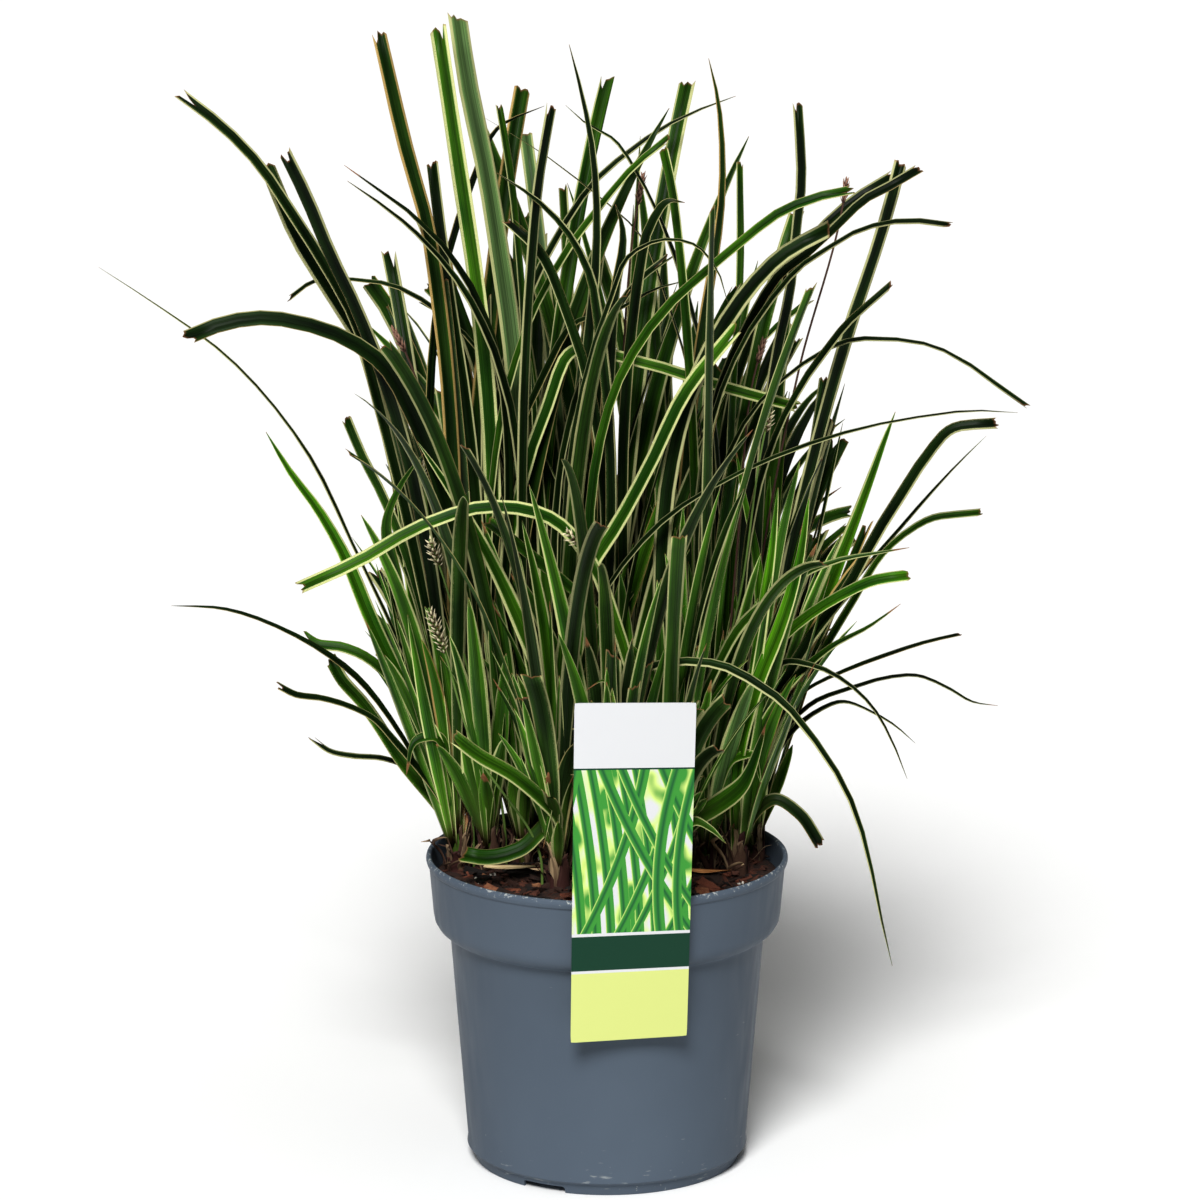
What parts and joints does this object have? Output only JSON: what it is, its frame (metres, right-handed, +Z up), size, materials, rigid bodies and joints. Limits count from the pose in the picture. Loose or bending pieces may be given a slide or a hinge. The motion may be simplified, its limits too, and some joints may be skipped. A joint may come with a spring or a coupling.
{
  "type": "potted sedge",
  "caption": "Variegated sedge with long arching grass-like leaves and flower spikes, standing in a round stepped nursery pot with a plant label over its rim.",
  "frame": {"origin": "on the ground under the middle of the pot's foot", "axes": "+Z up along the pot's axis; -Y towards the label"},
  "size_m": [0.4753, 0.4339, 0.5939],
  "materials": {
    "pot": "satin slate blue polypropylene",
    "soil": "rough damp bark compost",
    "label": "printed sheet plastic",
    "sedge_leaf": "satin green leaf with cream edges",
    "pale_spikelets": "dry matt cream scales",
    "dry_spikelets": "dry matt brown scales",
    "straw_leaf": "dry matt straw",
    "orange_leaf": "dry matt leaf"
  },
  "bodies": {
    "root": {"dry_leaf_orange": "orange_leaf", "dry_leaf_straw": "straw_leaf", "flower_stalk_brown_left": "dry_spikelets", "flower_stalk_brown_left_inner": "dry_spikelets", "flower_stalk_brown_middle": "dry_spikelets", "flower_stalk_brown_right": "dry_spikelets", "flower_stalk_brown_right_high": "dry_spikelets", "flower_stalk_middle": "pale_spikelets", "flower_stalk_pale_left": "pale_spikelets", "flower_stalk_pale_low": "pale_spikelets", "flower_stalk_right_low": "pale_spikelets", "flower_stalk_small": "pale_spikelets", "label": "label", "pot": "pot", "shoot_back": "sedge_leaf", "shoot_back_inner": "sedge_leaf", "shoot_back_left": "sedge_leaf", "shoot_back_right": "sedge_leaf", "shoot_front": "sedge_leaf", "shoot_front_left": "sedge_leaf", "shoot_front_right": "sedge_leaf", "shoot_left": "sedge_leaf", "shoot_left_back": "sedge_leaf", "shoot_left_edge": "sedge_leaf", "shoot_left_inner": "sedge_leaf", "shoot_middle": "sedge_leaf", "shoot_middle_back": "sedge_leaf", "shoot_middle_front": "sedge_leaf", "shoot_middle_left": "sedge_leaf", "shoot_middle_right": "sedge_leaf", "shoot_right": "sedge_leaf", "shoot_right_back": "sedge_leaf", "shoot_right_edge": "sedge_leaf", "shoot_right_inner": "sedge_leaf", "shoot_right_outer": "sedge_leaf", "soil": "soil"}
  },
  "joints": []
}
